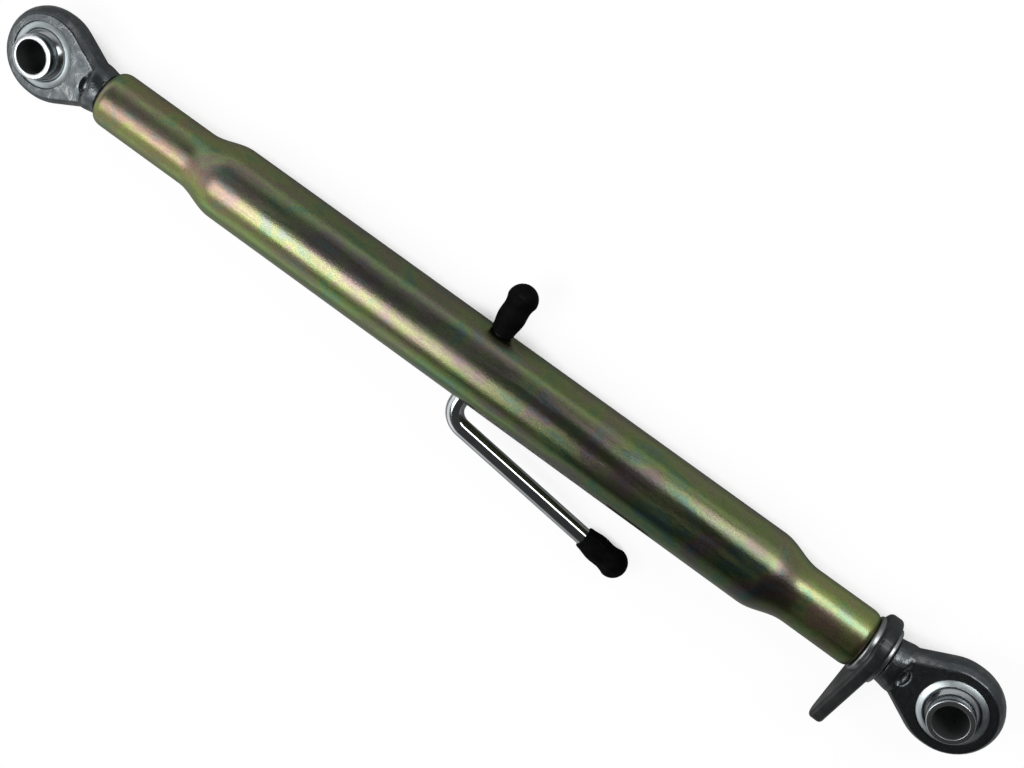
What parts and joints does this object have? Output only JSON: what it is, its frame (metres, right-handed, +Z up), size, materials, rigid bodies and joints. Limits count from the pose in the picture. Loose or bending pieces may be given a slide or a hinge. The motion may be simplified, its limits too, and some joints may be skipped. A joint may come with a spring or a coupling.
{
  "type": "tractor top link",
  "caption": "Adjustable tractor top link: swaged turnbuckle barrel, threaded bars with captive ball eyes, lever lock nut and a folding swing handle with rubber grips.",
  "frame": {"origin": "centre of the bounding box's bottom face, on the surface the link lies on", "axes": "+X from the tractor end to the implement end, +Z up and parallel to both pin bores"},
  "size_m": [0.884, 0.1604, 0.0598],
  "materials": {
    "yellow_zinc": "yellow passivated zinc, iridescent, half glossy",
    "forged_zinc": "zinc plated forging, slightly rough",
    "bright_zinc": "bright zinc on turned and rolled steel",
    "machined_steel": "turned",
    "polished_steel": "polished bearing steel",
    "black_iron": "black, half matt",
    "chrome_bar": "bright plated round bar",
    "black_rubber": "matt"
  },
  "bodies": {
    "barrel": {"barrel_tube": "yellow_zinc"},
    "tractor_end": {"tractor_eye": "forged_zinc", "tractor_screw": "bright_zinc", "tractor_race_upper": "machined_steel", "tractor_race_lower": "machined_steel"},
    "tractor_swivel": {"tractor_ball": "polished_steel"},
    "implement_end": {"implement_eye": "forged_zinc", "implement_screw": "bright_zinc", "implement_race_upper": "machined_steel", "implement_race_lower": "machined_steel"},
    "implement_swivel": {"implement_ball": "polished_steel"},
    "lock": {"lock_nut": "bright_zinc", "lock_lever": "black_iron"},
    "handle": {"handle_bar": "chrome_bar", "short_grip": "black_rubber", "long_grip": "black_rubber"}
  },
  "joints": [
    {"name": "tractor_extend", "type": "slide", "parent": "barrel", "child": "tractor_end", "axis": [-1, 0, 0], "range_m": [0, 0.15]},
    {"name": "implement_extend", "type": "slide", "parent": "barrel", "child": "implement_end", "axis": [1, 0, 0], "range_m": [0, 0.15]},
    {"name": "tractor_ball_tilt", "type": "hinge", "parent": "tractor_end", "child": "tractor_swivel", "pos_m": [-0.4065, 0.00849, 0.02989], "axis": [0, 1, 0], "range_deg": [-10, 10]},
    {"name": "implement_ball_tilt", "type": "hinge", "parent": "implement_end", "child": "implement_swivel", "pos_m": [0.4065, 0.00849, 0.02989], "axis": [0, 1, 0], "range_deg": [-10, 10]},
    {"name": "lock_turn", "type": "hinge", "parent": "barrel", "child": "lock", "pos_m": [0.3315, 0.00849, 0.02989], "axis": [-1, 0, 0], "range_deg": [0, 180]},
    {"name": "handle_swing", "type": "hinge", "parent": "barrel", "child": "handle", "pos_m": [-0.003, 0.00849, 0.02989], "axis": [0, 1, 0], "continuous": true}
  ],
  "couplings": [
    {"joint": "tractor_extend", "follows": "implement_extend", "ratio": 1}
  ]
}
